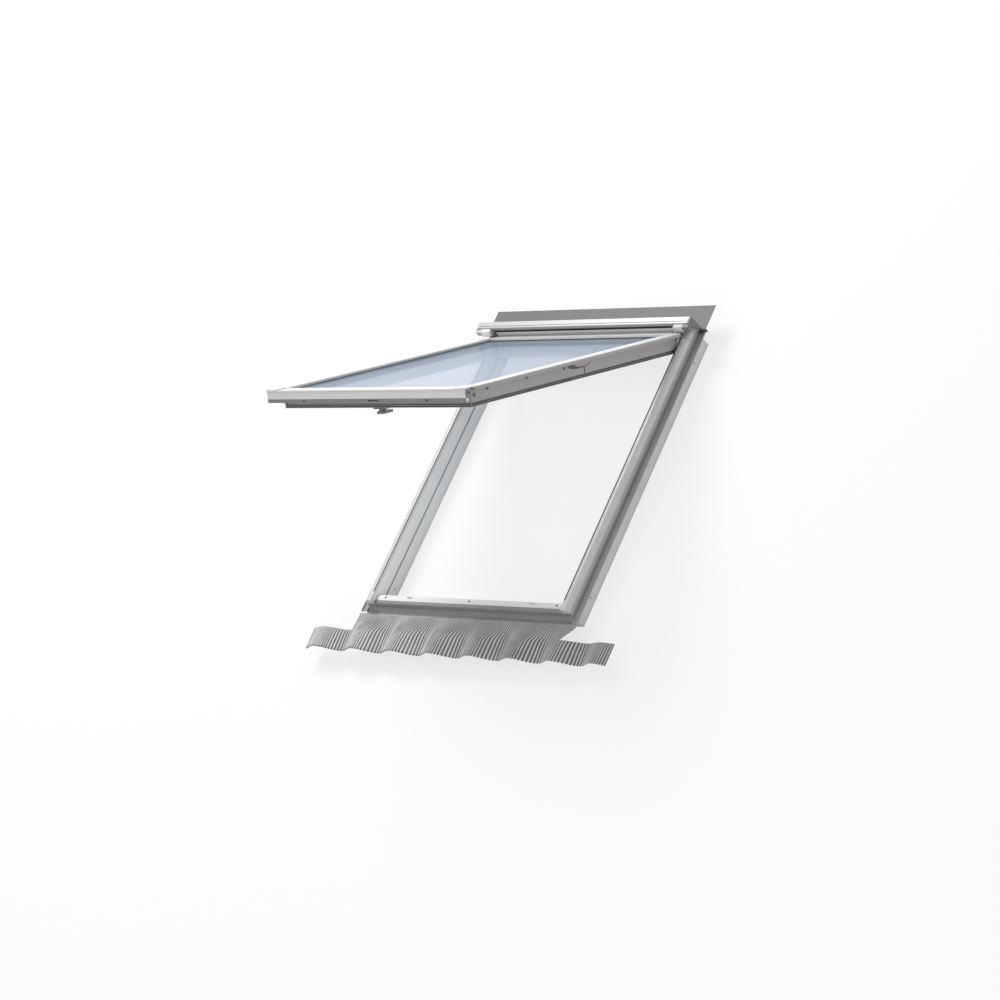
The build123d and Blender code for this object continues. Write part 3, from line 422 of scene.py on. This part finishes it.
def dress(materials):
    """Gives each node its slot's material and a fine edge."""
    for row in frame["record"]["subparts"]:
        node = frame["nodes"][row["node"]]
        node.data.materials.clear()
        node.data.materials.append(materials[OWN_MATERIALS.get(row["node"], row["material_slot"])])
        if row["material_slot"] not in ("glass", "apron_metal"):
            edge = node.modifiers.new("edge", "BEVEL")
            edge.width = EDGE_BEVEL
            edge.segments = 2
            edge.limit_method = "ANGLE"
            edge.angle_limit = math.radians(SMOOTH_ANGLE)


def swung_out(point):
    """Where a point of the shut sash lies with the sash open."""
    return HINGE + Matrix.Rotation(OPEN_ANGLE, 3, "X") @ (Vector(point) - HINGE)


def piece(name, points, faces, material, body):
    """Mesh piece that rides on a body."""
    mesh = bpy.data.meshes.new(name)
    mesh.from_pydata([tuple(point) for point in points], [], faces)
    work = bmesh.new()
    work.from_mesh(mesh)
    bmesh.ops.recalc_face_normals(work, faces=work.faces)
    work.to_mesh(mesh)
    work.free()
    mesh.materials.append(material)
    made = bpy.data.objects.new(name, mesh)
    bpy.context.scene.collection.objects.link(made)
    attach(made, body)
    return made


def drawn_out(section, low, high):
    """Points and faces of a closed section in Y and Z, drawn out between two X values."""
    count = len(section)
    points = [(x, y, z) for x in (low, high) for y, z in section]
    faces = [tuple(range(count)), tuple(range(count, 2 * count))]
    for index in range(count):
        after = (index + 1) % count
        faces.append((index, after, count + after, count + index))
    return points, faces


def rectangle(y, z):
    """Closed section between two Y values and two Z values."""
    return [(y[0], z[0]), (y[1], z[0]), (y[1], z[1]), (y[0], z[1])]


def joined(shapes):
    """Several shapes as one list of points and one list of faces."""
    points, faces = [], []
    for more_points, more_faces in shapes:
        start = len(points)
        points += more_points
        faces += [tuple(start + index for index in face) for face in more_faces]
    return points, faces


def mirrored(shape):
    """The same shape for the left side."""
    points, faces = shape
    return [(-x, y, z) for x, y, z in points], faces


def on_sash(name, shape, material, body="sash"):
    """Piece drawn in the shut position, placed on the open sash."""
    points, faces = shape
    return piece(name, [swung_out(point) for point in points], faces, material, body)


def both_sides(name, shape, material, body="sash"):
    """A piece on the right side and its mirror image on the left."""
    right = on_sash(name + "_right", shape, material, body)
    left = on_sash(name + "_left", mirrored(shape), material, body)
    return right, left


def smooth_step(value):
    """Eases from 0 to 1."""
    value = min(1.0, max(0.0, value))
    return value * value * (3 - 2 * value)


def wave_phase(x):
    """Share of a wave that lies between the last crest and this X."""
    return (x / WAVE_PITCH + 0.5) % 1.0


def apron_point(x, y, ridge):
    """Place on the apron of a pleat that starts at X."""
    share = (APRON_TOP_Y - y) / (APRON_TOP_Y - APRON_LOW_Y)
    turn = 2 * math.pi * (wave_phase(x) - SWEEP_PEAK)
    calm = min(1.0, (APRON_HALF_WIDTH - abs(x)) / WAVE_PITCH)
    sweep = WAVE_PITCH * calm * smooth_step(share / SWEEP_LENGTH)
    swept = x - sweep * (SWEEP_MEAN + SWEEP_SWING * math.cos(turn))
    phase = wave_phase(swept)
    fall = min(phase / WAVE_LONG_SIDE, (1 - phase) / (1 - WAVE_LONG_SIDE))
    crest = (1 + math.cos(math.pi * fall)) / 2
    wave = share ** WAVE_GROWTH * (WAVE_RISE * crest - WAVE_START)
    fold = PLEAT_RISE * ridge * min(1.0, PLEAT_START + share)
    return swept, y, APRON_TOP_Z + wave + fold


def apron_rows():
    """Distances down the apron, with one row where the wings start."""
    throat = [APRON_TOP_Y + (APRON_WING_Y - APRON_TOP_Y) * row / THROAT_ROWS for row in range(THROAT_ROWS)]
    wing = [APRON_WING_Y + (APRON_LOW_Y - APRON_WING_Y) * row / WING_ROWS for row in range(WING_ROWS + 1)]
    return throat + wing


def add_apron(material):
    """Apron with round pleats in place of the plainer solid."""
    rows = apron_rows()
    pleats = round(2 * APRON_HALF_WIDTH / WAVE_PITCH * PLEATS_PER_WAVE)
    columns = pleats * STEPS_PER_PLEAT
    starts = [APRON_HALF_WIDTH * (2 * column / columns - 1) for column in range(columns + 1)]
    ridges = [(1 - math.cos(2 * math.pi * column / STEPS_PER_PLEAT)) / 2 for column in range(columns + 1)]
    points = [apron_point(x, y, ridge) for y in rows for x, ridge in zip(starts, ridges)]
    width = columns + 1
    faces = []
    for row in range(len(rows) - 1):
        for column in range(columns):
            outside = max(abs(starts[column]), abs(starts[column + 1])) > APRON_THROAT
            if outside and row < THROAT_ROWS:
                continue
            first = row * width + column
            faces.append((first, first + width, first + width + 1, first + 1))
    used = sorted({index for face in faces for index in face})
    place = {index: new for new, index in enumerate(used)}
    kept = [points[index] for index in used]
    apron = piece("apron_pleats", kept, [tuple(place[i] for i in face) for face in faces], material, "frame")
    fold = apron.data.attributes.new("fold", "FLOAT", "POINT")
    for new, index in enumerate(used):
        fold.data[new].value = ridges[index % width]
    apron.data.shade_smooth()
    sheet = apron.modifiers.new("sheet", "SOLIDIFY")
    sheet.thickness = APRON_SHEET
    sheet.offset = -1
    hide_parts("apron_flashing")


def bowed(middle, half_length, depth, fullness):
    """Section with a straight upper edge and a bowed lower edge."""
    section = []
    for step in range(BOW_STEPS + 1):
        along = -math.cos(math.pi * step / BOW_STEPS)
        drop = depth * (1 - abs(along) ** fullness) ** (1 / fullness)
        section.append((middle + half_length * along, PLATE_TOP - drop))
    return section


def add_pivot_plates(materials):
    """Dark bowed plate, which stands in for the shade in the gap round the centre pivot, and a lighter one set towards
    its upper end, at each centre pivot.
    """
    dark = drawn_out(bowed(*SHIELD_BOW), SHIELD_BACK, SHIELD_FACE)
    light = drawn_out(bowed(*COVER_BOW), SHIELD_FACE, SHIELD_FACE + COVER_SHEET)
    # Dark plates: painted shade of the gap round each pivot.
    backs = both_sides("pivot_shade_plate", dark, materials["dark_plastic"], "hinge_arms")
    fronts = both_sides("pivot_cover", light, materials["casing_metal"], "hinge_arms")
    for side, back, front in zip(("right", "left"), backs, fronts):
        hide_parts("pivot_shield_" + side)
        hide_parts("pivot_plate_" + side)
    strip = drawn_out(rectangle(JOINT_STRIP_Y, JOINT_STRIP_Z), *JOINT_STRIP_X)
    both_sides("casing_joint", strip, materials["black_strip"], "hinge_arms")


def turned_ring(y, z):
    """Pressed ring on the casing round one screw."""
    points, faces = [], []
    profile = list(RING_PROFILE) + [(radius, 0.0) for radius, rise in reversed(RING_PROFILE) if rise]
    rims = len(profile)
    for step in range(RING_STEPS):
        turn = 2 * math.pi * step / RING_STEPS
        for radius, rise in profile:
            points.append((CASING_FACE + rise, y + radius * math.cos(turn), z + radius * math.sin(turn)))
        for rim in range(rims):
            here = step * rims
            after = (step + 1) % RING_STEPS * rims
            other = (rim + 1) % rims
            faces.append((here + rim, after + rim, after + other, here + other))
    return points, faces


def add_screw_rings(material):
    """Rings round the screws of both casings, in a dark tone that is painted shade of their recesses."""
    shape = joined([turned_ring(y, z) for y, z in CASING_SCREWS])
    both_sides("casing_rings", shape, material)


def add_corner_caps(material):
    """Folded caps over the lower corners of the sash covers."""
    top = FLANGE_TOP + CORNER_CAP_RISE
    front = FRONT_FACE - BEAD_REACH
    section = [(front, FLANGE_TOP - CORNER_CAP_SHEET), (front, top), (FRONT_FLANGE_END, top)]
    section += [(FRONT_FLANGE_END, FLANGE_TOP), (FRONT_FACE, FLANGE_TOP)]
    section.append((FRONT_FACE, FLANGE_TOP - CORNER_CAP_SHEET))
    shape = drawn_out(section, FLANGE_INNER - CORNER_CAP_REACH, FLANGE_OUTER + CORNER_CAP_SHEET)
    both_sides("corner_cap", shape, material)


def add_front_strips(materials):
    """Bead along the front cover of the sash, a darker strip under it as its painted shadow, and a black strip behind
    the cover's slots as their painted shade.
    """
    bead_low = FLANGE_TOP - BEAD_HEIGHT
    nose = FRONT_FACE - BEAD_REACH
    bead = [(FRONT_FACE, bead_low), (nose + 0.0008, bead_low), (nose, bead_low + 0.0012)]
    bead += [(nose, FLANGE_TOP - 0.0012), (nose + 0.0008, FLANGE_TOP), (FRONT_FACE, FLANGE_TOP)]
    on_sash("front_bead", drawn_out(bead, -FLANGE_OUTER, FLANGE_OUTER), materials["sash_metal"])
    bead_shadow = rectangle((FRONT_FACE - 0.0006, FRONT_FACE), (bead_low - BEAD_SHADOW_HEIGHT, bead_low))
    # Painted shadow under the bead.
    on_sash("front_bead_shadow", drawn_out(bead_shadow, -FLANGE_OUTER, FLANGE_OUTER), materials["pale_seal_and_shadow"])
    slot_shade = rectangle((SLOT_SHADE_FRONT, SLOT_SHADE_FRONT + 0.0014), (SLOT_SHADE_LOW, SLOT_SHADE_LOW + 0.012))
    # Painted shade behind the slots.
    on_sash("front_slot_shade", drawn_out(slot_shade, -SLOT_SHADE_HALF_WIDTH, SLOT_SHADE_HALF_WIDTH), materials["black_strip"])


def add_hood_strips(materials):
    """Light folded sheet that closes the gap under the hood, and the hood's rib and lower bead, dark strips painted in
    as the shade lines of its grooves.
    """
    low_y, low_z = HOOD_STRIP_LOW
    high_y, high_z = HOOD_STRIP_HIGH
    foot_y = low_y + HOOD_STRIP_FOOT
    section = [(low_y, low_z), (high_y, high_z), (high_y + STRIP_SHEET, high_z)]
    section += [(low_y + 2 * STRIP_SHEET, low_z + STRIP_SHEET), (foot_y, low_z + STRIP_SHEET), (foot_y, low_z)]
    points, faces = drawn_out(section, -HOOD_STRIP_HALF_WIDTH, HOOD_STRIP_HALF_WIDTH)
    piece("hood_strip", points, faces, materials["sash_metal"], "frame")
    rib = [(HOOD_RIB_Y, HOOD_TOP_Z), (HOOD_RIB_Y + 0.0015, HOOD_TOP_Z + 0.0012), (HOOD_RIB_Y + 0.003, HOOD_TOP_Z)]
    bead = rectangle((HOOD_FRONT_Y - 0.0012, HOOD_FRONT_Y), HOOD_BEAD_Z)
    # Painted shade lines on the hood.
    for name, strip in (("hood_rib_shade_line", rib), ("hood_bead_shade_line", bead)):
        points, faces = drawn_out(strip, -HOOD_HALF_WIDTH, HOOD_HALF_WIDTH)
        piece(name, points, faces, materials["end_plastic"], "frame")


def add_cover_edge_strips(material):
    """Thin black strips along the inner edges of the side covers, where the sash comes to rest."""
    low, high = EDGE_STRIP_Z
    inner, outer = EDGE_STRIP_X
    middle = (inner + outer) / 2
    section = [(inner, low), (outer, low), (outer, low + 0.0008), (middle, high), (inner, low + 0.0008)]
    count = len(section)
    points = [(x, y, z) for y in EDGE_STRIP_Y for x, z in section]
    faces = drawn_out([(0, 0)] * count, 0, 0)[1]
    piece("cover_edge_strip_right", points, faces, material, "frame")
    points, faces = mirrored((points, faces))
    piece("cover_edge_strip_left", points, faces, material, "frame")


def whitened(tree, shader, share):
    """Shows the camera a white share of the surface. The rest keeps its light and shadow."""
    white = tree.nodes.new("ShaderNodeEmission")
    path = tree.nodes.new("ShaderNodeLightPath")
    part = tree.nodes.new("ShaderNodeMath")
    part.operation = "MULTIPLY"
    part.inputs[1].default_value = share
    tree.links.new(path.outputs["Is Camera Ray"], part.inputs[0])
    mix = tree.nodes.new("ShaderNodeMixShader")
    tree.links.new(part.outputs["Value"], mix.inputs["Fac"])
    tree.links.new(shader.outputs["BSDF"], mix.inputs[1])
    tree.links.new(white.outputs["Emission"], mix.inputs[2])
    tree.links.new(mix.outputs["Shader"], tree.nodes["Material Output"].inputs["Surface"])


def add_floor():
    """Plain white ground that the part lies on. The camera sees it white, with the part's shadow."""
    half = FLOOR_REACH / 2
    corners = [(-half, -half, 0), (half, -half, 0), (half, half, 0), (-half, half, 0)]
    mesh = bpy.data.meshes.new("floor")
    mesh.from_pydata(corners, [], [(0, 1, 2, 3)])
    floor = bpy.data.objects.new("floor", mesh)
    bpy.context.scene.collection.objects.link(floor)
    material, tree, shader = new_material("floor")
    colour = ramp_between(tree, object_noise(tree, 0.4, 1), (0.9, 0.9, 0.9), (0.91, 0.91, 0.91))
    tree.links.new(colour, shader.inputs["Base Color"])
    shader.inputs["Roughness"].default_value = 0.9
    whitened(tree, shader, FLOOR_WHITE)
    mesh.materials.append(material)


def add_light(name, place, target, size, power):
    """Square soft light that faces the target."""
    data = bpy.data.lights.new(name, "AREA")
    data.size = size
    data.energy = power
    lamp = bpy.data.objects.new(name, data)
    lamp.location = place
    lamp.rotation_euler = (Vector(target) - Vector(place)).to_track_quat("-Z", "Y").to_euler()
    bpy.context.scene.collection.objects.link(lamp)


def add_world():
    """Even pale surroundings."""
    world = bpy.data.worlds.new("studio")
    world.use_nodes = True
    world.node_tree.nodes["Background"].inputs["Color"].default_value = (1.0, 1.0, 1.0, 1)
    world.node_tree.nodes["Background"].inputs["Strength"].default_value = 0.55
    bpy.context.scene.world = world


def add_camera():
    """Camera that stands level over a roof of the given pitch."""
    pitch = math.radians(ROOF_PITCH)
    upright = Vector((0, math.sin(pitch), math.cos(pitch)))
    back = -CAMERA_FORWARD.normalized()
    right = upright.cross(back).normalized()
    up = back.cross(right)
    data = bpy.data.cameras.new("camera")
    data.lens = CAMERA_LENS
    data.sensor_width = CAMERA_SENSOR
    data.clip_end = FLOOR_REACH * 2
    camera = bpy.data.objects.new("camera", data)
    turn = Matrix((right, up, back)).transposed().to_4x4()
    camera.matrix_world = Matrix.Translation(CAMERA_PLACE) @ turn
    bpy.context.scene.collection.objects.link(camera)
    bpy.context.scene.camera = camera


finishes = all_materials()
dress(finishes)
add_apron(finishes["apron_metal"])
add_pivot_plates(finishes)
add_screw_rings(finishes["ring_metal"])
add_corner_caps(finishes["sash_metal"])
add_front_strips(finishes)
add_hood_strips(finishes)
add_cover_edge_strips(finishes["black_strip"])
add_floor()
add_world()
add_light("key", (-4.0, 5.0, 7.0), (0, 0, 0.3), 4.0, 650)
add_light("front", (3.0, -8.0, 3.0), (0, 0, 0.3), 4.0, 160)
add_camera()
bpy.context.scene.view_settings.view_transform = "Standard"
